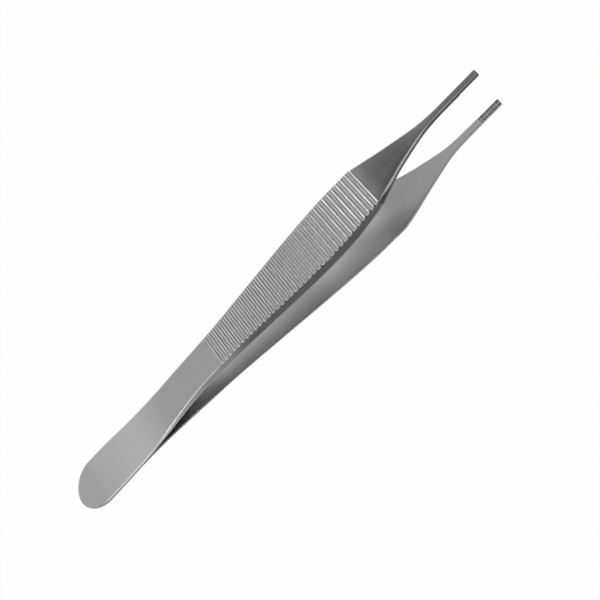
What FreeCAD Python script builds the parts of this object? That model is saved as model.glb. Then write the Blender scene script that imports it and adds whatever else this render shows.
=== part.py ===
import FreeCAD, Part
import math
import os

# Toothed thumb forceps: two bowed steel arms, welded flat together at the tail.
# X runs from the tail to the tips, Y is the way the arms open, Z is up, across the arms.
# The forceps lie on their side; the origin is the middle of the underside.
# Lengths along an arm are measured from the tail end, across it from its centre line.

# Overall sizes
LENGTH = 120.0
TAIL_WIDTH = 10.7
TAIL_ROUND = 6.2
WAIST_WIDTH = 8.4
GRIP_WIDTH = 12.7
SHOULDER_WIDTH = 11.33
FLARE_WIDTH = 5.9
JAW_WIDTH = 1.6

# Landmarks along the arm, from the tail end
WELD_END = 16.2
WAIST_AT = 38.0
BOW_AT = 56.0
GRIP_CREST_AT = 81.0
SHOULDER_AT = 89.65
FLARE_END_AT = 98.0
JAW_START_AT = 107.5

# Half of the clear gap between the arms at the landmarks
WAIST_HALF_GAP = 2.33
BOW_HALF_GAP = 3.41
CREST_HALF_GAP = 4.6
SHOULDER_HALF_GAP = 5.52
JAW_HALF_GAP = 6.14

# How steeply the gap opens, and the width falls off, along the arm at the landmarks
WAIST_OPENING = 0.084
BOW_OPENING = 0.033
CREST_OPENING = 0.085
SHOULDER_OPENING = 0.111
FLARE_OPENING = 0.026
SHOULDER_TAPER = 0.22
FLARE_TAPER = 0.26

# Thickness of one arm; the waist thickens and the grip's front thins out along it
TAIL_THICKNESS = 0.52
WAIST_THICKNESS = 1.1
GRIP_THICKNESS = 1.54
NECK_THICKNESS = 0.95
WAIST_THICKENING = 0.012
FRONT_THINNING = 0.02

# Bevel along the outer edges: how far it reaches across the face and down the side
TAIL_BEVEL = 0.24
GRIP_BEVEL_ACROSS = 0.63
GRIP_BEVEL_DOWN = 1.27
SHOULDER_BEVEL_ACROSS = 0.5
SHOULDER_BEVEL_DOWN = 0.85
NECK_BEVEL = 0.4
JAW_BEVEL = 0.26

# Cross ridges of the thumb grip, and the step down from the last one to the neck
RIDGE_COUNT = 35
RIDGE_FIRST_AT = 44.87
RIDGE_PITCH_GROWTH = 1.06
GROOVE_DEPTH = 0.35
GROOVE_WIDTH = 0.62
GROOVE_FLOOR = 0.14
GRIP_STEP = 0.35

# Two rows of teeth milled into the inner face of each jaw, with a channel between the rows
TOOTH_PITCH = 0.66
TOOTH_COUNT = 8
TOOTH_HEIGHT = 0.3
TOOTH_RECESS = 0.15
TOOTH_CHANNEL = 0.5
TIP_CORNER = 0.42

# Clearance by which a cutting tool stands out past the metal
OVER = 1.0

# Reach of a curve's handles, as a share of the side of the quarter ellipse that it draws
QUARTER_HANDLE = 0.5523


def vector(x, y, z):
    """Point in the part's frame from a place along the arm, out from the middle and across."""
    return FreeCAD.Vector(x - LENGTH / 2, y, z + GRIP_WIDTH / 2)


def smooth(stations, x):
    """Value and slope at x of the smooth curve through stations of (x, value, slope)."""
    for (x0, v0, m0), (x1, v1, m1) in zip(stations, stations[1:]):
        if x <= x1:
            break
    span = x1 - x0
    u = (x - x0) / span
    rise = v1 - v0
    a = (m0 + m1) * span - 2 * rise
    b = 3 * rise - (2 * m0 + m1) * span
    value = v0 + u * (m0 * span + u * (b + u * a))
    slope = m0 + u * (2 * b + 3 * u * a) / span
    return value, slope


# Half of the width, seen from the face
HALF_WIDTH = [
    (TAIL_ROUND, TAIL_WIDTH / 2, 0.0),
    (WAIST_AT, WAIST_WIDTH / 2, 0.0),
    (GRIP_CREST_AT, GRIP_WIDTH / 2, 0.0),
    (SHOULDER_AT, SHOULDER_WIDTH / 2, -SHOULDER_TAPER),
    (FLARE_END_AT, FLARE_WIDTH / 2, -FLARE_TAPER),
    (JAW_START_AT, JAW_WIDTH / 2, 0.0),
    (LENGTH, JAW_WIDTH / 2, 0.0),
]

# Inner face, seen from the edge
INNER = [
    (TAIL_ROUND, 0.0, 0.0),
    (WELD_END, 0.0, 0.0),
    (WAIST_AT, WAIST_HALF_GAP, WAIST_OPENING),
    (BOW_AT, BOW_HALF_GAP, BOW_OPENING),
    (GRIP_CREST_AT, CREST_HALF_GAP, CREST_OPENING),
    (SHOULDER_AT, SHOULDER_HALF_GAP, SHOULDER_OPENING),
    (FLARE_END_AT, JAW_HALF_GAP, FLARE_OPENING),
    (JAW_START_AT, JAW_HALF_GAP, 0.0),
    (LENGTH, JAW_HALF_GAP, 0.0),
]

# Thickness up to the crests of the ridges, bevel across the face, and bevel down the side
SHANK = [
    [
        (TAIL_ROUND, TAIL_THICKNESS, 0.0),
        (WELD_END, TAIL_THICKNESS, 0.0),
        (WAIST_AT, WAIST_THICKNESS, WAIST_THICKENING),
        (GRIP_CREST_AT, GRIP_THICKNESS, 0.0),
        (SHOULDER_AT, NECK_THICKNESS + GRIP_STEP, -FRONT_THINNING),
    ],
] + [
    [
        (TAIL_ROUND, TAIL_BEVEL, 0.0),
        (WELD_END, TAIL_BEVEL, 0.0),
        (BOW_AT, grip_bevel, 0.0),
        (GRIP_CREST_AT, grip_bevel, 0.0),
        (SHOULDER_AT, shoulder_bevel, 0.0),
    ]
    for grip_bevel, shoulder_bevel in (
        (GRIP_BEVEL_ACROSS, SHOULDER_BEVEL_ACROSS),
        (GRIP_BEVEL_DOWN, SHOULDER_BEVEL_DOWN),
    )
]
NECK = [
    [
        (SHOULDER_AT, neck_size, 0.0),
        (FLARE_END_AT, neck_size, 0.0),
        (JAW_START_AT, jaw_size, 0.0),
        (LENGTH, jaw_size, 0.0),
    ]
    for neck_size, jaw_size in (
        (NECK_THICKNESS, NECK_THICKNESS),
        (NECK_BEVEL, JAW_BEVEL),
        (NECK_BEVEL, JAW_BEVEL),
    )
]


def section(x, build):
    """Corners of the arm's section at x, each with its slope along the arm."""
    half, half_slope = smooth(HALF_WIDTH, x)
    inner, inner_slope = smooth(INNER, x)
    (thick, thick_slope), (across, across_slope), (down, down_slope) = [
        smooth(table, x) for table in build
    ]
    outer = inner + thick
    outer_slope = inner_slope + thick_slope
    corners = []
    for side in (-1, 1):
        edge = [
            (inner, side * half, inner_slope, side * half_slope),
            (outer - down, side * half, outer_slope - down_slope, side * half_slope),
            (outer, side * (half - across), outer_slope, side * (half_slope - across_slope)),
        ]
        corners += edge if side < 0 else edge[::-1]
    return [(vector(x, y, z), FreeCAD.Vector(1, dy, dz)) for y, z, dy, dz in corners]


def corner_curve(start, end):
    """Curve of one corner of the section between two stations."""
    (p0, t0), (p1, t1) = start, end
    third = (p1.x - p0.x) / 3
    curve = Part.BezierCurve()
    curve.setPoles([p0, p0 + t0 * third, p1 - t1 * third, p1])
    return curve.toShape()


def skin(a, b):
    """Face between two neighbouring corner curves, flat where they share a plane."""
    ends = [Part.makeLine(a.valueAt(p), b.valueAt(q))
            for p, q in ((a.FirstParameter, b.FirstParameter), (a.LastParameter, b.LastParameter))]
    wire = Part.Wire([a, ends[1], b, ends[0]])
    if wire.findPlane():
        return Part.Face(wire)
    return Part.makeRuledSurface(a, b)


def cap(corners):
    """Flat face that closes the section."""
    points = [p for p, slope in corners]
    return Part.Face(Part.makePolygon(points + points[:1]))


def bar(start, end, build):
    """Stretch of the arm, skinned between the corner curves of its section."""
    breaks = {x for table in (HALF_WIDTH, INNER, *build) for x, v, m in table}
    stops = [start] + sorted(x for x in breaks if start < x < end) + [end]
    sections = [section(x, build) for x in stops]
    faces = [cap(sections[0]), cap(sections[-1])]
    for before, after in zip(sections, sections[1:]):
        curves = [corner_curve(p, q) for p, q in zip(before, after)]
        faces += [skin(a, b) for a, b in zip(curves, curves[1:] + curves[:1])]
    shell = Part.makeShell(faces)
    shell.sewShape()
    solid = Part.makeSolid(shell)
    solid.fix(1e-6, 1e-6, 1e-6)
    return solid


def tail_end():
    """Rounded end of the tail, half an ellipse with its outer edge bevelled."""
    half = TAIL_WIDTH / 2
    short = 1 - QUARTER_HANDLE
    quarters = []
    for side in (-1, 1):
        quarter = Part.BezierCurve()
        quarter.setPoles([
            vector(0, 0, 0),
            vector(0, 0, side * QUARTER_HANDLE * half),
            vector(short * TAIL_ROUND, 0, side * half),
            vector(TAIL_ROUND, 0, side * half),
        ])
        quarters.append(quarter.toShape())
    straight = Part.makeLine(vector(TAIL_ROUND, 0, half), vector(TAIL_ROUND, 0, -half))
    outline = Part.Wire([quarters[0], quarters[1], straight])
    plate = Part.Face(outline).extrude(FreeCAD.Vector(0, TAIL_THICKNESS, 0))
    rim = [e for e in plate.Edges
           if e.BoundBox.YMin > TAIL_THICKNESS / 2 and e.BoundBox.XLength > TAIL_ROUND / 2]
    return plate.makeChamfer(TAIL_BEVEL, rim)


def groove_places():
    """Centres of the grooves, at a pitch that grows evenly from the first to the last."""
    first = 2 * (SHOULDER_AT - RIDGE_FIRST_AT) / RIDGE_COUNT / (1 + RIDGE_PITCH_GROWTH)
    step = first * (RIDGE_PITCH_GROWTH - 1) / (RIDGE_COUNT - 1)
    return [RIDGE_FIRST_AT + first * i + step * i * (i - 1) / 2 for i in range(RIDGE_COUNT)]


def groove(x):
    """Open groove that parts two ridges, square to the outer face where it lies."""
    inner, inner_slope = smooth(INNER, x)
    thick, thick_slope = smooth(SHANK[0], x)
    flare = (GROOVE_WIDTH - GROOVE_FLOOR) / 2 * OVER / GROOVE_DEPTH
    lip = GROOVE_WIDTH / 2 + flare
    floor = GROOVE_FLOOR / 2
    points = [(-lip, OVER), (-floor, -GROOVE_DEPTH), (floor, -GROOVE_DEPTH), (lip, OVER)]
    turn = math.atan(inner_slope + thick_slope)
    cos, sin = math.cos(turn), math.sin(turn)
    top = inner + thick
    placed = [vector(x + px * cos - py * sin, top + px * sin + py * cos, -GRIP_WIDTH)
              for px, py in points]
    cutter = Part.Face(Part.makePolygon(placed + placed[:1]))
    return cutter.extrude(FreeCAD.Vector(0, 0, 2 * GRIP_WIDTH))


def tooth_cuts(offset):
    """What is milled from the jaw's inner face, with the teeth moved along by the offset."""
    start = LENGTH + TOOTH_PITCH * (offset - TOOTH_COUNT)
    crest = JAW_HALF_GAP + TOOTH_RECESS
    root = crest + TOOTH_HEIGHT
    open_side = JAW_HALF_GAP - OVER
    zigzag = []
    for i in range(TOOTH_COUNT):
        zigzag += [(start + TOOTH_PITCH * i, crest), (start + TOOTH_PITCH * (i + 0.5), root)]
    last = start + TOOTH_PITCH * TOOTH_COUNT
    end = last + OVER
    lead = [(start - (crest - open_side), open_side)]
    outline = lead + zigzag + [(last, crest), (end, crest), (end, open_side)]
    points = [vector(x, y, -JAW_WIDTH) for x, y in outline]
    profile = Part.Face(Part.makePolygon(points + points[:1]))
    rows = profile.extrude(FreeCAD.Vector(0, 0, 2 * JAW_WIDTH))
    channel = Part.makeBox(end - start, root - open_side, TOOTH_CHANNEL)
    channel.translate(vector(start, open_side, -TOOTH_CHANNEL / 2))
    return [rows, channel]


def tip_corners():
    """What is rounded away from the two corners of the jaw's end, seen from the face."""
    corners = []
    for side in (-1, 1):
        centre = vector(LENGTH - TIP_CORNER, 0, side * (JAW_WIDTH / 2 - TIP_CORNER))
        reach = TIP_CORNER + OVER
        block = Part.makeBox(reach, LENGTH, reach)
        block.translate(centre - FreeCAD.Vector(0, 0, reach if side < 0 else 0))
        pin = Part.makeCylinder(TIP_CORNER, LENGTH, centre, FreeCAD.Vector(0, 1, 0))
        corners.append(block.cut(pin))
    return corners


def forged_arm(offset):
    """One arm, on the +Y side of the weld."""
    shank = bar(TAIL_ROUND, SHOULDER_AT, SHANK)
    neck = bar(SHOULDER_AT, LENGTH, NECK)
    arm = tail_end().fuse([shank, neck]).removeSplitter()
    grooves = [groove(x) for x in groove_places()]
    return arm.cut(grooves + tooth_cuts(offset) + tip_corners()).Solids[0]


os.makedirs("parts", exist_ok=True)
for name, offset in (("left_arm", 0.0), ("right_arm", 0.5)):
    arm = forged_arm(offset)
    print(name, arm.ShapeType, arm.isValid(), len(arm.Solids), round(arm.Volume, 2))
    if name == "right_arm":
        arm = arm.mirror(FreeCAD.Vector(0, 0, 0), FreeCAD.Vector(0, 1, 0))
    arm.exportStep("parts/" + name + ".step")
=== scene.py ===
import math
import bpy
import numpy as np
from mathutils import Matrix, Vector


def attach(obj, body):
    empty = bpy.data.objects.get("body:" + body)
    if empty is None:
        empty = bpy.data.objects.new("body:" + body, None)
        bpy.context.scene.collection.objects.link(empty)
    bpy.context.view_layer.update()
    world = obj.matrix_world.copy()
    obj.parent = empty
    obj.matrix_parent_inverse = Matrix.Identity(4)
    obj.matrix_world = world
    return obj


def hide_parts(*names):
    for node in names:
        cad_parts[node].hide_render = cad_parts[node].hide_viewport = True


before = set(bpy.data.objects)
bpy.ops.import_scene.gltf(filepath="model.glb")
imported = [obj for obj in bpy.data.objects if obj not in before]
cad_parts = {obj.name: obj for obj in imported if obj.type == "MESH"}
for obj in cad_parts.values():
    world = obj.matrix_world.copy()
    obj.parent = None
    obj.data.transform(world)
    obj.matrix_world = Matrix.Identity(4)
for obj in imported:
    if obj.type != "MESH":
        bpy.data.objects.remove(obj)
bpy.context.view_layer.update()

# Toothed thumb forceps: two bowed steel arms, welded flat together at the tail.
# Lengths are in millimetres, x along an arm from the tail end, y the way the arms open,
# and w across an arm from its centre line; an arm's upper half is the one with w above zero.
MM = 0.001

# Overall sizes
LENGTH = 120.0
TAIL_WIDTH = 10.7
TAIL_ROUND = 6.2
WAIST_WIDTH = 8.4
GRIP_WIDTH = 12.7
JAW_WIDTH = 1.5

# Landmarks along the arm, from the tail end
WELD_END = 16.2
WAIST_AT = 38.0
BOW_AT = 56.0
GRIP_CREST_AT = 81.0
SHOULDER_AT = 89.65
FLARE_END_AT = 98.0
JAW_START_AT = 107.5

# Half of the clear gap between the arms at the landmarks
WAIST_HALF_GAP = 2.33
BOW_HALF_GAP = 3.41
CREST_HALF_GAP = 4.6
SHOULDER_HALF_GAP = 5.52
JAW_HALF_GAP = 6.14

# How steeply the gap opens along the arm at the landmarks
WAIST_OPENING = 0.084
BOW_OPENING = 0.033
CREST_OPENING = 0.085
SHOULDER_OPENING = 0.111
FLARE_OPENING = 0.026

# Thickness of one arm; the waist thickens and the grip's front thins out along it
TAIL_THICKNESS = 0.52
WAIST_THICKNESS = 1.1
GRIP_THICKNESS = 1.54
NECK_THICKNESS = 0.95
WAIST_THICKENING = 0.012
FRONT_THINNING = 0.02

# Bevel along the outer edges: how far it reaches across the face and down the side,
# and the share of the half width that it never passes
TAIL_BEVEL = 0.24
GRIP_BEVEL_ACROSS = 0.63
GRIP_BEVEL_DOWN = 1.27
SHOULDER_BEVEL_ACROSS = 0.5
SHOULDER_BEVEL_DOWN = 0.85
NECK_BEVEL = 0.4
JAW_BEVEL = 0.26
BEVEL_LIMIT = 0.45

# Rounds of the inner edge and of the bevel's two edges; a round takes at most a share of
# the shorter stretch beside it
EDGE_ROUND = 0.1
CORNER_ROUND = 0.12
ROUND_LIMIT = 0.45
TIP_CORNER = 0.22

# Ridges of the grip: the gap between two, how soft their edges and how steep their walls are,
# how round their ends, and the step in front of the last one
RIDGE_COUNT = 36
RIDGE_FIRST_AT = 43.63
RIDGE_PITCH_GROWTH = 1.062
RIDGE_GAP = 0.28
RIDGE_EDGE = 0.1
RIDGE_WALL_SLOPE = 1.6
RIDGE_END_ROUND = 0.95
GRIP_STEP = 0.35
FRONT_ROUND = 0.13

# Teeth on the jaw's inner face, which are lower beside the jaw's edges
TOOTH_PITCH = 0.66
TOOTH_COUNT = 8
TOOTH_HEIGHT = 0.2
TOOTH_RECESS = 0.15
TOOTH_CHANNEL = 0.5
TOOTH_SIDE_SHARE = 0.5
TOOTH_SIDE_WIDTH = 0.15
TEETH_AT = LENGTH - TOOTH_PITCH * TOOTH_COUNT
RIGHT_TEETH_OFFSET = -0.5

# Half widths, which differ a little in front of the grip, as hand grinding leaves them;
# here and below, the stations of a curve are (place along the arm, value, slope)
LEFT_HALF_WIDTH = [
    (TAIL_ROUND, TAIL_WIDTH / 2, 0.0),
    (WAIST_AT, WAIST_WIDTH / 2, 0.0),
    (79.5, GRIP_WIDTH / 2, 0.0),
    (86.0, 5.96, -0.11),
    (SHOULDER_AT, 5.5, -0.33),
    (FLARE_END_AT, 2.8, -0.25),
    (103.0, 1.54, -0.235),
    (110.5, JAW_WIDTH / 2, 0.0),
    (LENGTH, JAW_WIDTH / 2, 0.0),
]
RIGHT_HALF_WIDTH = [
    (TAIL_ROUND, TAIL_WIDTH / 2, 0.0),
    (WAIST_AT, WAIST_WIDTH / 2, 0.0),
    (GRIP_CREST_AT, GRIP_WIDTH / 2, 0.0),
    (85.5, 6.1, -0.07),
    (SHOULDER_AT, 5.75, -0.25),
    (96.0, 3.75, -0.34),
    (101.0, 2.3, -0.265),
    (104.0, 1.5, -0.25),
    (110.5, 0.8, 0.0),
    (113.0, JAW_WIDTH / 2, 0.0),
    (LENGTH, JAW_WIDTH / 2, 0.0),
]

# Inner face, as far from the plane between the arms as half the gap
INNER = [
    (TAIL_ROUND, 0.0, 0.0),
    (WELD_END, 0.0, 0.0),
    (WAIST_AT, WAIST_HALF_GAP, WAIST_OPENING),
    (BOW_AT, BOW_HALF_GAP, BOW_OPENING),
    (GRIP_CREST_AT, CREST_HALF_GAP, CREST_OPENING),
    (SHOULDER_AT, SHOULDER_HALF_GAP, SHOULDER_OPENING),
    (FLARE_END_AT, JAW_HALF_GAP, FLARE_OPENING),
    (JAW_START_AT, JAW_HALF_GAP, 0.0),
    (LENGTH, JAW_HALF_GAP, 0.0),
]

# Thickness, bevel across and bevel down, behind the shoulder and in front of it
SHANK = [
    [
        (TAIL_ROUND, TAIL_THICKNESS, 0.0),
        (WELD_END, TAIL_THICKNESS, 0.0),
        (WAIST_AT, WAIST_THICKNESS, WAIST_THICKENING),
        (GRIP_CREST_AT, GRIP_THICKNESS, 0.0),
        (SHOULDER_AT, NECK_THICKNESS + GRIP_STEP, -FRONT_THINNING),
    ],
] + [
    [
        (TAIL_ROUND, TAIL_BEVEL, 0.0),
        (WELD_END, TAIL_BEVEL, 0.0),
        (BOW_AT, grip_bevel, 0.0),
        (GRIP_CREST_AT, grip_bevel, 0.0),
        (SHOULDER_AT, shoulder_bevel, 0.0),
    ]
    for grip_bevel, shoulder_bevel in (
        (GRIP_BEVEL_ACROSS, SHOULDER_BEVEL_ACROSS),
        (GRIP_BEVEL_DOWN, SHOULDER_BEVEL_DOWN),
    )
]
NECK = [
    [
        (SHOULDER_AT, neck_size, 0.0),
        (FLARE_END_AT, neck_size, 0.0),
        (JAW_START_AT, jaw_size, 0.0),
        (LENGTH, jaw_size, 0.0),
    ]
    for neck_size, jaw_size in (
        (NECK_THICKNESS, NECK_THICKNESS),
        (NECK_BEVEL, JAW_BEVEL),
        (NECK_BEVEL, JAW_BEVEL),
    )
]

# How far the shank leaves a straight line across, most at the tail's end
SWAY = [
    (0.0, 0.56, -0.147),
    (TAIL_ROUND, 0.02, -0.035),
    (12.0, -0.13, -0.015),
    (23.0, -0.17, 0.0),
    (38.0, -0.09, 0.006),
    (52.0, 0.0, 0.0),
    (LENGTH, 0.0, 0.0),
]

# How deep the grooves are, and how far the ridges' ends stay back from the bevel
GROOVE_DEPTHS = [
    (43.0, 0.03, 0.0),
    (45.0, 0.1, 0.0),
    (LENGTH, 0.12, 0.0),
]
RIDGE_SETBACK = [
    (44.0, 0.0, 0.0),
    (60.0, 0.05, 0.0),
    (80.0, 0.18, 0.0),
    (LENGTH, 0.18, 0.0),
]

# Painted highlights and painted shade in bands across the grip: how strong each is along it
CREST_HIGHLIGHT = [
    (43.4, 0.05, 0.0),
    (44.8, 0.3, 0.0),
    (60.0, 0.35, 0.0),
    (69.0, 0.2, 0.0),
    (77.0, 0.42, 0.05),
    (85.0, 1.0, 0.0),
    (LENGTH, 1.0, 0.0),
]
FLANK_HIGHLIGHT = [
    (44.0, 0.45, 0.0),
    (60.0, 0.55, 0.0),
    (72.0, 0.28, 0.0),
    (79.0, 0.42, 0.0),
    (LENGTH, 0.42, 0.0),
]
GROOVE_SHADE = [
    (43.4, 0.1, 0.0),
    (44.6, 0.9, 0.0),
    (60.0, 1.35, 0.0),
    (72.0, 0.6, 0.0),
    (80.0, 0.95, 0.0),
    (LENGTH, 0.95, 0.0),
]
FLANK_SHADE = [
    (43.4, 0.1, 0.0),
    (45.0, 0.5, 0.0),
    (60.0, 0.68, 0.0),
    (72.0, 0.26, 0.0),
    (80.0, 0.4, 0.0),
    (LENGTH, 0.42, 0.0),
]

# Each band lies behind or in front of a groove and shifts backward along the grip: its place
# at the first and at the second of these landmarks, its half width and its strength
BAND_LANDMARKS = (46.0, 72.0)
PAINTED_LIGHT_BANDS = (
    (-0.03, -0.27, 0.12, CREST_HIGHLIGHT),
    (0.62, 0.51, 0.11, FLANK_HIGHLIGHT),
)
PAINTED_SHADE_BANDS = (
    (-0.34, -0.57, 0.14, GROOVE_SHADE),
    (0.32, 0.16, 0.15, FLANK_SHADE),
)

# How the painted bands end across the arm: over what width they stop at the upper bevel, what share
# they lose before it, from where over the half width and over how much of it they lose it,
# and how far outside a crest the painted shade ones reach
BAND_END = 0.15
BAND_FADE = 0.35
BAND_FADE_FROM = 0.55
BAND_FADE_WIDTH = 0.45
SHADE_BAND_LIMIT = 0.1

# Painted highlight on a rim around the ridges' ends, and painted shade in the cusps between them
RIM_HIGHLIGHT = 0.3
RIM_INWARD = 0.07
RIM_WIDTH = 0.08
RIM_END = 0.2
CUSP_SHADE = [
    (44.0, 0.3, 0.0),
    (52.0, 0.6, 0.0),
    (62.0, 0.9, 0.0),
    (LENGTH, 0.95, 0.0),
]
CUSP_EDGE = 0.06
CUSP_END = 0.12
CUSP_SPILL = 0.08
LOWER_CUSP_SHARE = 0.25

# Painted shade on the teeth's two rows and on the channel between them: on the crests, and what
# a notch adds; the slope that leads down to them gets a painted highlight
ROW_SHADE = (0.45, 0.55)
CHANNEL_SHADE = (0.1, 0.3)
TOOTH_LEAD_HIGHLIGHT = 0.6

# How far below the outer face its own forms reach, how far from the inner face its painted
# light and shade reach, how far off the flat outer face a point still counts as on it, and at
# what share of the bevel's way down the side begins
OUTER_SKIN = 0.3
INNER_SKIN = 0.05
FLAT_SKIN = 0.02
SIDE_FROM = 0.9

# Painted light and shade on the shank: how bright its outer face, bevel and side are, and a
# painted highlight line along its edge
SHANK_TONE = [
    (0.0, 1.0, 0.0),
    (WELD_END + 2, 1.2, 0.0),
    (WAIST_AT - 8, 0.9, 0.0),
    (SHOULDER_AT, 0.9, 0.0),
]
SHANK_BEVEL_TONE = [
    (0.0, 1.0, 0.0),
    (WELD_END + 5, 1.0, 0.0),
    (WAIST_AT - 10, 2.4, 0.0),
    (WAIST_AT, 2.4, -0.02),
    (WAIST_AT + 8, 2.0, -0.1),
    (WAIST_AT + 15, 1.0, 0.0),
    (SHOULDER_AT, 1.0, 0.0),
]
SHANK_EDGE_HIGHLIGHT = [
    (0.0, 0.0, 0.0),
    (WELD_END + 4, 0.0, 0.0),
    (WAIST_AT - 8, 0.7, 0.0),
    (WAIST_AT - 2, 0.35, 0.0),
    (WAIST_AT + 9, 0.0, 0.0),
    (SHOULDER_AT, 0.0, 0.0),
]
EDGE_LINE_WIDTH = 0.12
EDGE_LINE_DEPTH = 0.15

# Painted shade: the lower bevel darkens along the grip, and the right arm's upper side gets a
# painted shadow at the waist
LOWER_BEVEL_SHADE = 0.4
LOWER_SHADE_FROM = 60.0
LOWER_SHADE_LENGTH = 18.0
RIGHT_SIDE_SHADE = 0.75
RIGHT_SHADE_END = WAIST_AT + 12
RIGHT_SHADE_LENGTH = 12.0

# Painted light and shade on the neck and the jaw: how bright the outer face and bevel are, how
# much painted shade the face gets toward its upper edge and painted light toward its lower one,
# and how bright the sides of the two arms are
NECK_TONE = [
    (SHOULDER_AT, 0.6, -0.1),
    (SHOULDER_AT + 3.4, 0.35, -0.01),
    (FLARE_END_AT, 0.32, 0.0),
    (JAW_START_AT - 1, 0.46, 0.0),
    (JAW_START_AT + 2, 0.4, 0.0),
    (LENGTH, 0.4, 0.0),
]
NECK_BEVEL_TONE = [
    (SHOULDER_AT, 0.6, 0.0),
    (SHOULDER_AT + 2, 2.1, 0.0),
    (FLARE_END_AT + 5, 2.1, 0.0),
    (JAW_START_AT, 1.1, 0.0),
    (LENGTH, 0.75, 0.0),
]
NECK_UPPER_SHADE = 0.4
NECK_LOWER_LIGHT = 0.25
LEFT_SIDE_TONE = 0.3
RIGHT_SIDE_TONE = 1.3

# Painted highlight along the neck's upper bevel: how far it leaves the bevel inward and spills over
# it, how soft its edges are, and the length over which it starts, from a share of its strength
NECK_LINE_INWARD = [
    (SHOULDER_AT, 0.55, -0.1),
    (95.5, 0.0, 0.0),
    (LENGTH, 0.0, 0.0),
]
NECK_LINE_SPILL = 0.05
NECK_LINE_EDGE = 0.08
NECK_LINE_TONE = 1.15
NECK_LINE_START = 0.2
NECK_LINE_LENGTH = 2.6

# Painted light and shade on the inner face: along its middle, how much brighter or darker it is
# toward both edges, from where over the half width to where, and how much it leans to the upper
# edge
INNER_TONE = [
    (0.0, 0.5, 0.0),
    (WAIST_AT - 10, 0.6, 0.0),
    (WAIST_AT + 4, 1.95, 0.0),
    (48.0, 1.82, 0.0),
    (65.0, 1.76, 0.0),
    (72.0, 1.92, 0.0),
    (79.0, 1.72, -0.04),
    (86.0, 1.24, -0.1),
    (SHOULDER_AT + 2, 0.82, 0.0),
    (LENGTH, 0.92, 0.0),
]
INNER_EDGE_SHARE = [
    (24.0, 2.2, 0.0),
    (30.0, 2.6, 0.0),
    (34.0, 1.4, -0.25),
    (39.5, 0.62, 0.0),
    (65.0, 0.76, 0.0),
    (78.0, 0.8, 0.0),
    (86.0, 0.95, 0.03),
    (92.0, 1.15, 0.0),
    (FLARE_END_AT, 1.0, 0.0),
    (LENGTH, 1.0, 0.0),
]
INNER_EDGE_FROM = 0.3
INNER_EDGE_WIDTH = 0.4
INNER_LEAN = [
    (74.0, 0.0, 0.0),
    (86.0, 0.32, 0.0),
    (93.0, 0.17, 0.0),
    (101.0, 0.0, 0.0),
    (LENGTH, 0.0, 0.0),
]

# Sections along the arm: how many from the tail to the weld's end, to the grip, on the neck
# and to the teeth, how many a tooth, in the gap behind the grip and on the tip's corner,
# and the digits that their places keep
WELD_SECTIONS = 12
WAIST_SECTIONS = 34
NECK_SECTIONS = 44
JAW_SECTIONS = 14
TOOTH_SECTIONS = 10
LEAD_SECTIONS = 6
TIP_SECTIONS = 12
SECTION_DIGITS = 5

# Where they lie in the first half of a ridge's pitch and around the step in front of the
# grip, how far in front of it the neck's own start, and where they lie in the gap behind it
RIDGE_SHARES = np.array([0, 0.05, 0.1, 0.135, 0.17, 0.21, 0.26, 0.36, 0.5])
STEP_PLACES = np.array([
    -0.16, -0.13, -0.1, -0.07, -0.04, -0.015, 0.0, 0.01, 0.03, 0.06, 0.12, 0.2, 0.3,
])
NECK_SECTIONS_FROM = 0.4
LEAD_SHARES = (0.9, 0.1)

# Points around a section: steps of each round, and shares of the straight stretches on its
# inner face, side, bevel and outer face
ROUND_STEPS = 4
STRETCH_SHARES = (
    (0.25, 0.5, 0.75, 0.9, 1.0),
    np.linspace(0, 1, 3)[1:],
    np.linspace(0, 1, 10)[1:],
    (0.03, 0.06, 0.09, 0.12, 0.15, 0.18, 0.22, 0.28, 0.4, 0.6, 0.8, 1.0),
)

# The tail's end turns half round in steps; the tip's end closes in shrinking rings
TAIL_STEPS = 40
TIP_RINGS = (0.97, 0.6)
SHARP_ANGLE = 38

# What a point holds beside its place: painted highlight, painted shade, a tone that carries
# painted light and shade, and where the ridges' streaks go; and what it is on the tail's end
FINISH_AND_PAINTED_LIGHT = ("painted_highlight", "painted_shade", "tone", "ridged")
TAIL_FINISH_AND_PAINTED_LIGHT = (0.0, 0.0, 1.0, 0.0)


def smooth(stations, x):
    """Values at x of the smooth curve through stations of (x, value, slope)."""
    at, value, slope = np.array(stations).T
    i = np.clip(np.searchsorted(at, x) - 1, 0, len(at) - 2)
    span = at[i + 1] - at[i]
    u = (x - at[i]) / span
    rise = value[i + 1] - value[i]
    a = (slope[i] + slope[i + 1]) * span - 2 * rise
    b = 3 * rise - (2 * slope[i] + slope[i + 1]) * span
    return value[i] + u * (slope[i] * span + u * (b + u * a))


def share(x, start, length):
    """How much of the length from the start on lies behind x, from 0 to 1."""
    return np.clip((x - start) / length, 0, 1)


def ridge_grooves():
    """Centres of the grooves, at a pitch that grows evenly from the first to the last."""
    first = 2 * (SHOULDER_AT - RIDGE_FIRST_AT) / RIDGE_COUNT / (1 + RIDGE_PITCH_GROWTH)
    step = first * (RIDGE_PITCH_GROWTH - 1) / (RIDGE_COUNT - 1)
    i = np.arange(RIDGE_COUNT + 1)
    return RIDGE_FIRST_AT + first * i + step * i * (i - 1) / 2


GROOVES = ridge_grooves()


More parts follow.
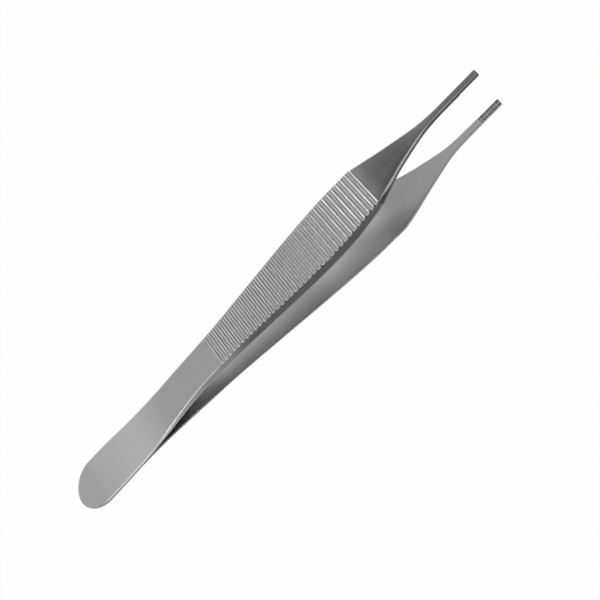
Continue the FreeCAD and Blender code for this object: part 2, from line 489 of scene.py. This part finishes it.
def stops_along():
    """Places of the sections: close together over each ridge, the teeth and the tip."""
    teeth_from = TEETH_AT - TOOTH_PITCH
    corner_at = LENGTH - TIP_CORNER
    pitches = np.concatenate([RIDGE_SHARES, 1 - RIDGE_SHARES[-2:0:-1]])
    ridges = (GROOVES[:-1, None] + np.diff(GROOVES)[:, None] * pitches).ravel()
    turn = np.linspace(0, math.pi / 2, TIP_SECTIONS)
    places = np.concatenate([
        np.linspace(TAIL_ROUND, WELD_END, WELD_SECTIONS),
        np.linspace(WELD_END, GROOVES[0] - RIDGE_GAP, WAIST_SECTIONS),
        GROOVES[0] - RIDGE_GAP * np.linspace(*LEAD_SHARES, LEAD_SECTIONS),
        ridges[ridges < SHOULDER_AT + STEP_PLACES[0]],
        SHOULDER_AT + STEP_PLACES,
        np.linspace(SHOULDER_AT + NECK_SECTIONS_FROM, JAW_START_AT, NECK_SECTIONS),
        np.linspace(JAW_START_AT, teeth_from, JAW_SECTIONS),
        np.arange(teeth_from, corner_at, TOOTH_PITCH / TOOTH_SECTIONS),
        corner_at + TIP_CORNER * np.sin(turn),
    ])
    return np.unique(np.round(places, SECTION_DIGITS))


def rounded(path, radii):
    """Points of a path of corners, each an (n, 2) array, with its inner corners rounded."""
    points = [path[0]]
    for before, corner, after, radius in zip(path, path[1:], path[2:], radii):
        inward = corner - before
        outward = after - corner
        a = np.linalg.norm(inward, axis=1)[:, None]
        b = np.linalg.norm(outward, axis=1)[:, None]
        inward = inward / a
        outward = outward / b
        cos = np.clip((inward * outward).sum(1), -1, 1)[:, None]
        reach = radius * np.sqrt((1 - cos) / (1 + cos))
        reach = np.minimum(reach, ROUND_LIMIT * np.minimum(a, b))
        start, end = corner - inward * reach, corner + outward * reach
        for s in np.linspace(0, 1, ROUND_STEPS + 1):
            points.append((1 - s) ** 2 * start + 2 * s * (1 - s) * corner + s ** 2 * end)
    points.append(path[-1])
    return points


def filled(points):
    """The points of a rounded path with more of them on its straight stretches."""
    out = [points[0]]
    for k, (p, q) in enumerate(zip(points, points[1:])):
        stretch, on_round = divmod(k, ROUND_STEPS + 1)
        shares = (1.0,) if on_round else STRETCH_SHARES[stretch]
        out += [p + (q - p) * s for s in shares]
    return out


def sections(x, half_width):
    """Half sections at x, as points of (y, w) from the middle inside to the middle outside."""
    end = np.clip(x - (LENGTH - TIP_CORNER), 0, TIP_CORNER)
    half = smooth(half_width, x)
    half = half - (TIP_CORNER - np.sqrt(TIP_CORNER ** 2 - end ** 2))
    inner = smooth(INNER, x)
    thick, across, down = [
        np.where(x <= SHOULDER_AT, smooth(shank, np.minimum(x, SHOULDER_AT)),
                 smooth(neck, np.maximum(x, SHOULDER_AT)))
        for shank, neck in zip(SHANK, NECK)
    ]
    across = np.minimum(across, BEVEL_LIMIT * half)
    outer = inner + thick
    corners = (
        (inner, 0 * half),
        (inner, half),
        (outer - down, half),
        (outer, half - across),
        (outer, 0 * half),
    )
    path = [np.stack(corner, 1) for corner in corners]
    points = filled(rounded(path, (EDGE_ROUND, CORNER_ROUND, CORNER_ROUND)))
    edges = [v[:, None] for v in (half, inner, outer, across, down)]
    return np.stack(points, 1), edges


def ridge_drop(x, w, reach):
    """How far the grip's face lies below its crests, how far a point is outside the nearest
    crest, and how far it is past the middle of that crest's round end."""
    cell = np.clip(np.searchsorted(GROOVES, x, side="right") - 1, 0, RIDGE_COUNT - 1)
    left, right = GROOVES[cell], GROOVES[cell + 1]
    middle = (left + right) / 2
    half = (right - left) / 2 - RIDGE_GAP / 2

    # the last crest runs on to the step in front of the grip, and the shank to the first groove
    near = np.where((cell == RIDGE_COUNT - 1) & (x > middle), 0.0, np.abs(x - middle))
    radius = half * RIDGE_END_ROUND
    over_x = near - (half - radius)
    over_w = np.abs(w) - (reach - smooth(RIDGE_SETBACK, x) - radius)
    outside = np.hypot(np.maximum(over_x, 0), np.maximum(over_w, 0))
    gap = outside + np.minimum(np.maximum(over_x, over_w), 0) - radius
    gap = np.where(x < GROOVES[0], x - (GROOVES[0] - RIDGE_GAP / 2), gap)

    soft = np.clip((gap + RIDGE_EDGE) ** 2 / (4 * RIDGE_EDGE), 0, None)
    drop = np.where(gap < -RIDGE_EDGE, 0, np.where(gap > RIDGE_EDGE, gap, soft))
    deepest = smooth(GROOVE_DEPTHS, x)
    drop = deepest * np.tanh(RIDGE_WALL_SLOPE * drop / deepest)

    front = np.clip((x - SHOULDER_AT) / FRONT_ROUND + 1, 0, 1)
    drop = drop + FRONT_ROUND * (1 - np.sqrt(1 - front ** 2)) * (gap < 0)
    return drop, gap, over_w


def bands(x, table):
    """Strongest of the bands at x, each a soft line at its place after the nearest groove."""
    cell = np.clip(np.searchsorted(GROOVES, x, side="right") - 1, 0, RIDGE_COUNT - 1)
    behind, ahead = x - GROOVES[cell], GROOVES[cell + 1] - x
    first, last = BAND_LANDMARKS
    shift = share(x, first, last - first)
    strongest = np.zeros_like(x)
    for rear, front, width, strength in table:
        place = rear + (front - rear) * shift
        away = np.minimum(np.abs(behind - place), np.abs(ahead + place))
        strongest = np.maximum(strongest, np.exp(-(away / width) ** 2) * smooth(strength, x))
    return strongest


def ridge_painted_light(x, w, reach, gap, over_w):
    """Painted highlight and painted shade on the grip: bands across it, and painted shade in cusps
    at its edges.
    """
    on_band = np.clip((reach - smooth(RIDGE_SETBACK, x) - w) / BAND_END, 0, 1)
    on_band = on_band * (1 - BAND_FADE * share(w / reach, BAND_FADE_FROM, BAND_FADE_WIDTH))
    rim = np.exp(-((gap + RIM_INWARD) / RIM_WIDTH) ** 2) * share(over_w, 0, RIM_END) * RIM_HIGHLIGHT
    cusp = share(gap, 0, CUSP_EDGE) * np.clip(over_w / CUSP_END + 0.5, 0, 1)
    cusp = cusp * smooth(CUSP_SHADE, x) * (np.abs(w) < reach + CUSP_SPILL)
    cusp = cusp * np.where(w > 0, 1, LOWER_CUSP_SHARE) * (w > -reach)
    painted_glint = np.maximum(bands(x, PAINTED_LIGHT_BANDS) * on_band, rim)
    painted_dark = np.maximum(bands(x, PAINTED_SHADE_BANDS) * on_band * (gap < SHADE_BAND_LIMIT), cusp)
    return painted_glint * (1 - cusp), painted_dark


def tooth_forms(x, w, half, offset):
    """How far the jaw's inner face is cut back, how far in a notch it is, and the way in."""
    first = TEETH_AT + TOOTH_PITCH * offset
    notch = 1 - 2 * np.abs((x - first) / TOOTH_PITCH % 1.0 - 0.5)
    lead = np.clip((x - first) / TOOTH_RECESS + 1, 0, 1)
    in_channel = np.abs(w) < TOOTH_CHANNEL / 2
    beside = np.clip(1 - (half - np.abs(w)) / TOOTH_SIDE_WIDTH, 0, 1)
    rise = TOOTH_HEIGHT * np.where(in_channel, 1, notch * (1 - TOOTH_SIDE_SHARE * beside))
    return TOOTH_RECESS * lead + rise * (x > first), notch, lead


def shank_tone(x, w, on_face, on_side, is_right):
    """Painted light and shade on the shank's outer face, bevels and sides, given as brightness."""
    back = np.minimum(x, SHOULDER_AT)
    lower = share(x, LOWER_SHADE_FROM, LOWER_SHADE_LENGTH) * (w < 0)
    bevel = smooth(SHANK_BEVEL_TONE, back) * (1 - LOWER_BEVEL_SHADE * lower)
    beside = np.where(on_side, (1 + bevel) / 2, bevel)
    # painted shadow on the right arm's upper side at the waist
    shade = np.clip((RIGHT_SHADE_END - x) / RIGHT_SHADE_LENGTH, 0, 1) * (x > WELD_END)
    shade = RIGHT_SIDE_SHADE * shade * (is_right & on_side & (w > 0))
    return smooth(SHANK_TONE, back) * np.where(on_face, 1, beside) * (1 - shade)


def neck_tone(x, w, half, across, on_face, on_side, is_right):
    """Painted light and shade on the neck's and the jaw's outer face, bevels and sides, given as
    brightness.
    """
    ahead = np.maximum(x, SHOULDER_AT)
    toward = np.abs(w) / (half - across)
    upper = 1 - NECK_UPPER_SHADE * np.clip(2 * toward - 1, 0, 1)
    lower = 1 + NECK_LOWER_LIGHT * np.clip(toward, 0, 1)
    plain = smooth(NECK_TONE, ahead) * np.where(w > 0, upper, lower)
    side = RIGHT_SIDE_TONE if is_right else LEFT_SIDE_TONE

    # painted highlight line along the upper bevel
    from_line = half - w - across / 2 - smooth(NECK_LINE_INWARD, ahead)
    lit = np.clip((across / 2 + NECK_LINE_SPILL - np.abs(from_line)) / NECK_LINE_EDGE, 0, 1)
    lit = lit * np.clip((x - SHOULDER_AT) / NECK_LINE_LENGTH, NECK_LINE_START, 1)
    beside = np.where(from_line < 0, LEFT_SIDE_TONE, plain)
    face = np.where(w > 0, beside + (NECK_LINE_TONE - beside) * lit, plain)
    bevel = side + (smooth(NECK_BEVEL_TONE, ahead) - side) * lit
    bevel = np.where(w > 0, bevel, plain)
    return np.where(on_face, face, np.where(on_side, side, bevel))


def inner_tone(x, w, half):
    """Painted light and shade on the inner face, given as brightness."""
    outward = share(np.abs(w) / half, INNER_EDGE_FROM, INNER_EDGE_WIDTH)
    at_edge = smooth(INNER_EDGE_SHARE, np.maximum(x, INNER_EDGE_SHARE[0][0]))
    lean = smooth(INNER_LEAN, np.maximum(x, INNER_LEAN[0][0]))
    return smooth(INNER_TONE, x) * (1 + (at_edge - 1) * outward) * (1 + lean * w / half)


def face_tone(x, y, w, edges, is_right):
    """Painted light and shade on each face, given as brightness, before its bands and notches."""
    half, inner, outer, across, down = edges
    on_face = (y > outer - FLAT_SKIN) & (np.abs(w) < half - across + FLAT_SKIN)
    on_side = y < outer - SIDE_FROM * down
    shank = shank_tone(x, w, on_face, on_side, is_right)
    neck = neck_tone(x, w, half, across, on_face, on_side, is_right)
    outside = np.where(x > SHOULDER_AT, neck, shank)
    return np.where(y < inner + INNER_SKIN, inner_tone(x, w, half), outside)


def rings(stops, points, edges, offset, is_right):
    """Points around each section, (rows, n, 3), and the finish and painted light at each, (rows, n,
    4).
    """
    # the upper half of a section, then its mirror image
    plain = np.concatenate([points[..., 0], points[:, -2:0:-1, 0]], 1)
    w = np.concatenate([points[..., 1], -points[:, -2:0:-1, 1]], 1)
    x = np.repeat(stops[:, None], w.shape[1], 1)
    half, inner, outer, across, down = edges
    reach = half - across
    tone = face_tone(x, plain, w, edges, is_right)

    # ridges of the grip, cut down from the outer face
    on_grip = (x > GROOVES[0] - RIDGE_GAP) & (x <= SHOULDER_AT)
    drop, gap, over_w = ridge_drop(x, w, reach)
    level = outer - np.where(on_grip, drop, 0)
    y = np.minimum(plain, level)
    # painted highlight and painted shade on the grip, kept to the ridged outer face
    painted_glint, painted_dark = ridge_painted_light(x, w, reach, gap, over_w)
    on_ridges = on_grip & (plain > level - np.where(w < 0, down, OUTER_SKIN))
    # painted highlight: a light line along the edge between the shank's outer face and its bevel
    edge_line = np.exp(-((np.abs(w) - reach) / EDGE_LINE_WIDTH) ** 2)
    edge_line = edge_line * (plain > outer - EDGE_LINE_DEPTH)
    edge_line = edge_line * smooth(SHANK_EDGE_HIGHLIGHT, np.minimum(x, SHOULDER_AT))
    painted_highlight = np.maximum(np.where(on_ridges, painted_glint, 0), edge_line)
    painted_shade = np.where(on_ridges, painted_dark, 0)

    # teeth milled into the inner face of the jaw
    cut, notch, lead = tooth_forms(x, w, half, offset)
    y = np.where(plain < outer - OUTER_SKIN, np.maximum(y, inner + cut), y)
    on_inside = plain < inner + INNER_SKIN
    # painted shade on the teeth, deeper in the notches
    row, channel = [crest + more * notch for crest, more in (ROW_SHADE, CHANNEL_SHADE)]
    teeth_shade = np.where(np.abs(w) > TOOTH_CHANNEL / 2, row, channel)
    painted_shade = np.where(on_inside & (lead >= 1), teeth_shade, painted_shade)
    # painted highlight on the slope that leads down to the teeth
    painted_highlight = np.where(on_inside & (lead > 0) & (lead < 1), TOOTH_LEAD_HIGHLIGHT, painted_highlight)

    ridged = on_ridges & (np.abs(w) < reach)
    return np.stack([x, y, w + smooth(SWAY, x)], -1), np.stack([painted_highlight, painted_shade, tone, ridged], -1)


def ring_quads(first, second):
    """Quads between two closed rings, each a list of point numbers."""
    pairs = list(zip(first, second))
    return [(a, c, d, b) for (a, b), (c, d) in zip(pairs, pairs[1:] + pairs[:1])]


def tail_end(section, ring_size, first_new):
    """Tail's end: the section turned half round and drawn out to an ellipse.

    Returns its new points, which are numbered from first_new on, and its faces.
    """
    last = len(section) - 1
    stretch = TAIL_ROUND / (TAIL_WIDTH / 2)
    columns = [list(range(last + 1))]
    points = []
    for step in range(1, TAIL_STEPS):
        angle = math.pi * step / TAIL_STEPS
        start = first_new + len(points)
        columns.append([0] + list(range(start, start + last - 1)) + [last])
        for y, w in section[1:-1]:
            x = TAIL_ROUND - w * stretch * math.sin(angle)
            points.append((x, y, w * math.cos(angle) + smooth(SWAY, x)))
    columns.append([0] + [ring_size - k for k in range(1, last)] + [last])
    faces = []
    for a, b in zip(columns, columns[1:]):
        for k in range(last):
            corners = (a[k], b[k], b[k + 1], a[k + 1])
            faces.append(tuple(dict.fromkeys(corners)))
    return points, faces


def arm_mesh(name, side, offset, half_width):
    """One arm as a closed mesh of fine quads; side is +1 or -1, offset moves its teeth along."""
    stops = stops_along()
    points, edges = sections(stops, half_width)
    verts, finish_and_painted_light = rings(stops, points, edges, offset, side < 0)
    rows, n = verts.shape[:2]
    verts = verts.reshape(-1, 3)
    finish_and_painted_light = finish_and_painted_light.reshape(-1, len(FINISH_AND_PAINTED_LIGHT))
    faces = []
    for start in range(0, (rows - 1) * n, n):
        faces += ring_quads(range(start, start + n), range(start + n, start + 2 * n))

    tail, tail_faces = tail_end(points[0], n, len(verts))
    faces += tail_faces
    verts = np.concatenate([verts, tail])
    finish_and_painted_light = np.concatenate([finish_and_painted_light, np.tile(TAIL_FINISH_AND_PAINTED_LIGHT, (len(tail), 1))])

    # the tip's end, closed by shrinking rings and a fan
    last = (rows - 1) * n
    ring = verts[last:last + n]
    centre = ring.mean(0)
    before = range(last, last + n)
    for shrink in TIP_RINGS:
        after = range(len(verts), len(verts) + n)
        faces += ring_quads(before, after)
        verts = np.concatenate([verts, centre + (ring - centre) * shrink])
        finish_and_painted_light = np.concatenate([finish_and_painted_light, finish_and_painted_light[last:last + n]])
        before = after
    hub = len(verts)
    verts = np.concatenate([verts, centre[None]])
    finish_and_painted_light = np.concatenate([finish_and_painted_light, finish_and_painted_light[last:last + 1]])
    faces += [(a, b, hub) for a, b in zip(before, [*before[1:], before[0]])]

    place = (verts + np.array([-LENGTH / 2, 0, GRIP_WIDTH / 2])) * MM
    place[:, 1] *= side
    if side > 0:
        faces = [face[::-1] for face in faces]
    mesh = bpy.data.meshes.new(name)
    mesh.from_pydata(place.tolist(), [], faces)
    for label, values in zip(FINISH_AND_PAINTED_LIGHT, finish_and_painted_light.T):
        attribute = mesh.attributes.new(label, "FLOAT", "POINT")
        attribute.data.foreach_set("value", values.astype(np.float32))
    mesh.polygons.foreach_set("use_smooth", [True] * len(mesh.polygons))
    mesh.update()
    mesh.set_sharp_from_angle(angle=math.radians(SHARP_ANGLE))
    piece = bpy.data.objects.new(name, mesh)
    bpy.context.scene.collection.objects.link(piece)
    return piece


# Colours of the steel: grinding marks, cool cast, and the painted shade of grooves and notches
# and the painted highlight of edges
STEEL_DARK = (0.33, 0.33, 0.33)
STEEL_LIGHT = (0.39, 0.39, 0.39)
STEEL_COOL = (0.352, 0.356, 0.358)
STEEL_PAINTED_SHADE = (0.075, 0.075, 0.075)
STEEL_PAINTED_HIGHLIGHT = (0.96, 0.96, 0.96)
COOL_SHARE = 0.35

# Its unevenness: scale, stretch along x, y and z, and detail
GRAIN = (900.0, (0.12, 1.0, 1.0), 3.0)
CLOUDS = (60.0, (0.5, 1.0, 1.0), 2.0)
PATCHES = (1500.0, (1.0, 1.0, 0.3), 2.0)
BROAD_PATCHES = (160.0, (1.0, 1.0, 1.0), 1.0)
STREAKS = (3200.0, (1.0, 1.0, 0.3), 3.0)

# How strong that is: what the unevenness is multiplied by, and what is added to it
PATCH_RANGE = (2.2, -0.1)
BROAD_RANGE = (1.1, 0.45)
STREAK_RANGE = (1.1, 1.0)
STREAK_MIDDLE = 0.5
ROUGH_RANGE = (0.14, 0.22)
BUMP_STRENGTH = 0.05
BUMP_HEIGHT = 0.00005


def steel():
    """Satin steel: fine grinding lines along the arm, with the painted highlights, painted shade
    and painted light that the mesh's points carry.
    """
    material = bpy.data.materials.new("satin_steel")
    material.use_nodes = True
    tree = material.node_tree
    nodes, links = tree.nodes, tree.links
    shader = nodes["Principled BSDF"]
    shader.inputs["Metallic"].default_value = 1.0
    place = nodes.new("ShaderNodeTexCoord")

    def noise(scale, stretch, detail):
        mapping = nodes.new("ShaderNodeMapping")
        mapping.inputs["Scale"].default_value = stretch
        links.new(place.outputs["Object"], mapping.inputs["Vector"])
        made = nodes.new("ShaderNodeTexNoise")
        made.inputs["Scale"].default_value = scale
        made.inputs["Detail"].default_value = detail
        links.new(mapping.outputs["Vector"], made.inputs["Vector"])
        return made.outputs["Fac"]

    def attribute(label):
        made = nodes.new("ShaderNodeAttribute")
        made.attribute_name = label
        return made.outputs["Fac"]

    def math_node(operation, a, b, clamp=False):
        made = nodes.new("ShaderNodeMath")
        made.operation = operation
        made.use_clamp = clamp
        for socket, value in zip(made.inputs, (a, b)):
            if isinstance(value, float):
                socket.default_value = value
            else:
                links.new(value, socket)
        return made.outputs[0]

    def ranged(value, factor, plus):
        return math_node("ADD", math_node("MULTIPLY", value, factor), plus)

    def blend_colour(factor, a, b):
        made = nodes.new("ShaderNodeMix")
        made.data_type = "RGBA"
        links.new(factor, made.inputs[0])
        for socket, value in ((made.inputs[6], a), (made.inputs[7], b)):
            if isinstance(value, tuple):
                socket.default_value = (*value, 1.0)
            else:
                links.new(value, socket)
        return made.outputs[2]

    grain = noise(*GRAIN)
    patchy = ranged(noise(*PATCHES), *PATCH_RANGE)
    patchy = math_node("MULTIPLY", patchy, ranged(noise(*BROAD_PATCHES), *BROAD_RANGE))
    streak = math_node("SUBTRACT", noise(*STREAKS), STREAK_MIDDLE)
    streak = ranged(math_node("MULTIPLY", streak, attribute("ridged")), *STREAK_RANGE)

    tone = blend_colour(grain, STEEL_DARK, STEEL_LIGHT)
    tone = blend_colour(math_node("MULTIPLY", noise(*CLOUDS), COOL_SHARE), tone, STEEL_COOL)
    # painted light and shade: the colour is scaled by each point's tone, and on the ridges by
    # streaks
    scaled = nodes.new("ShaderNodeVectorMath")
    scaled.operation = "SCALE"
    links.new(tone, scaled.inputs[0])
    links.new(math_node("MULTIPLY", attribute("tone"), streak), scaled.inputs["Scale"])
    # painted shade: a near black is mixed in where a point carries shade
    painted_dark = math_node("MULTIPLY", attribute("painted_shade"), patchy, clamp=True)
    tone = blend_colour(painted_dark, scaled.outputs[0], STEEL_PAINTED_SHADE)
    # painted highlight: a near white is mixed in where a point carries a highlight
    painted_glint = math_node("MULTIPLY", attribute("painted_highlight"), patchy, clamp=True)
    tone = blend_colour(painted_glint, tone, STEEL_PAINTED_HIGHLIGHT)
    links.new(tone, shader.inputs["Base Color"])

    links.new(ranged(grain, *ROUGH_RANGE), shader.inputs["Roughness"])
    bump = nodes.new("ShaderNodeBump")
    bump.inputs["Strength"].default_value = BUMP_STRENGTH
    bump.inputs["Distance"].default_value = BUMP_HEIGHT
    links.new(grain, bump.inputs["Height"])
    links.new(bump.outputs["Normal"], shader.inputs["Normal"])
    return material


metal = steel()
for name, side, offset, half_width in (
    ("left_arm", 1, 0.0, LEFT_HALF_WIDTH),
    ("right_arm", -1, RIGHT_TEETH_OFFSET, RIGHT_HALF_WIDTH),
):
    arm = arm_mesh(name + "_finished", side, offset, half_width)
    arm.data.materials.append(metal)
    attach(arm, "root")
    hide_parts(name)

# Studio, in metres: a pale floor just below the forceps, and how much it glows where it is seen
WHITE = (1, 1, 1, 1)
FLOOR_REACH = 3.0
FLOOR_DROP = 0.00002
FLOOR_COLOUR = (0.9, 0.9, 0.9, 1)
FLOOR_GLOW = 0.975

# Light from all around: bright up to the first height, dimmer from the second on
HORIZON_HEIGHTS = (0.15, 0.95)
HORIZON_LEVELS = (1.0, 0.24)

# A soft panel above the forceps, turned to them: its place, width and power
PANEL_PLACE = (-0.45, 0.85, 0.9)
PANEL_WIDTH = 0.85
PANEL_POWER = 3.4


def studio_floor():
    """Pale floor, matt for the light on it and nearly white where it is seen or mirrored."""
    floor_mesh = bpy.data.meshes.new("floor")
    ways = ((-1, -1), (1, -1), (1, 1), (-1, 1))
    corners = [(x * FLOOR_REACH, y * FLOOR_REACH, 0) for x, y in ways]
    floor_mesh.from_pydata(corners, [], [(0, 1, 2, 3)])
    floor = bpy.data.objects.new("floor", floor_mesh)
    bpy.context.scene.collection.objects.link(floor)
    floor.location.z = -FLOOR_DROP
    material = bpy.data.materials.new("floor")
    material.use_nodes = True
    nodes, links = material.node_tree.nodes, material.node_tree.links
    nodes.clear()
    out = nodes.new("ShaderNodeOutputMaterial")
    matt = nodes.new("ShaderNodeBsdfDiffuse")
    matt.inputs["Color"].default_value = FLOOR_COLOUR
    glow = nodes.new("ShaderNodeEmission")
    glow.inputs["Color"].default_value = WHITE
    path = nodes.new("ShaderNodeLightPath")
    seen = path.outputs["Is Camera Ray"]
    for kind in ("Is Glossy Ray", "Is Transmission Ray"):
        either = nodes.new("ShaderNodeMath")
        either.operation = "MAXIMUM"
        links.new(seen, either.inputs[0])
        links.new(path.outputs[kind], either.inputs[1])
        seen = either.outputs[0]
    part = nodes.new("ShaderNodeMath")
    part.operation = "MULTIPLY"
    part.inputs[1].default_value = FLOOR_GLOW
    links.new(seen, part.inputs[0])
    mix = nodes.new("ShaderNodeMixShader")
    links.new(part.outputs[0], mix.inputs["Fac"])
    links.new(matt.outputs[0], mix.inputs[1])
    links.new(glow.outputs[0], mix.inputs[2])
    links.new(mix.outputs[0], out.inputs["Surface"])
    floor_mesh.materials.append(material)


def studio_lights():
    """Pale horizon under a dimmer ceiling, and the soft panel."""
    world = bpy.data.worlds.new("studio")
    bpy.context.scene.world = world
    world.use_nodes = True
    nodes, links = world.node_tree.nodes, world.node_tree.links
    place = nodes.new("ShaderNodeTexCoord")
    split = nodes.new("ShaderNodeSeparateXYZ")
    links.new(place.outputs["Generated"], split.inputs[0])
    level = nodes.new("ShaderNodeMapRange")
    for end, height, strength in zip(("Min", "Max"), HORIZON_HEIGHTS, HORIZON_LEVELS):
        level.inputs["From " + end].default_value = height
        level.inputs["To " + end].default_value = strength
    links.new(split.outputs["Z"], level.inputs["Value"])
    links.new(level.outputs["Result"], nodes["Background"].inputs["Strength"])
    nodes["Background"].inputs["Color"].default_value = WHITE

    light = bpy.data.lights.new("key", "AREA")
    light.shape = "SQUARE"
    light.size = PANEL_WIDTH
    light.energy = PANEL_POWER
    lamp = bpy.data.objects.new("key", light)
    bpy.context.scene.collection.objects.link(lamp)
    lamp.location = PANEL_PLACE
    lamp.rotation_euler = (-Vector(PANEL_PLACE)).to_track_quat("-Z", "Y").to_euler()


# Camera: its place in metres, the way it looks and turns in degrees, and its lens
CAMERA_PLACE = Vector((0.042479, 0.197271, 0.130970 + GRIP_WIDTH / 2 * MM))
CAMERA_AZIMUTH = 11.034
CAMERA_ELEVATION = 32.337
CAMERA_ROLL = 140.725
CAMERA_LENS = 70.74
CAMERA_SENSOR = 36.0
CAMERA_NEAREST = 0.01
CAMERA_FARTHEST = 20.0


def camera():
    """Camera that looks down on the forceps, turned so that their tips point up and right."""
    azimuth = math.radians(CAMERA_AZIMUTH)
    elevation = math.radians(CAMERA_ELEVATION)
    roll = math.radians(CAMERA_ROLL)
    level_share = math.cos(elevation)
    ahead = Vector((
        -math.sin(azimuth) * level_share, -math.cos(azimuth) * level_share, -math.sin(elevation),
    ))
    level = ahead.cross(Vector((0, 0, 1))).normalized()
    upright = level.cross(ahead)
    right = level * math.cos(roll) + upright * math.sin(roll)
    up = upright * math.cos(roll) - level * math.sin(roll)
    data = bpy.data.cameras.new("camera")
    data.lens = CAMERA_LENS
    data.sensor_width = CAMERA_SENSOR
    data.clip_start = CAMERA_NEAREST
    data.clip_end = CAMERA_FARTHEST
    made = bpy.data.objects.new("camera", data)
    bpy.context.scene.collection.objects.link(made)
    turn = Matrix((right, up, -ahead)).transposed().to_4x4()
    made.matrix_world = Matrix.Translation(CAMERA_PLACE) @ turn
    bpy.context.scene.camera = made


studio_floor()
studio_lights()
camera()
bpy.context.scene.view_settings.view_transform = "Standard"
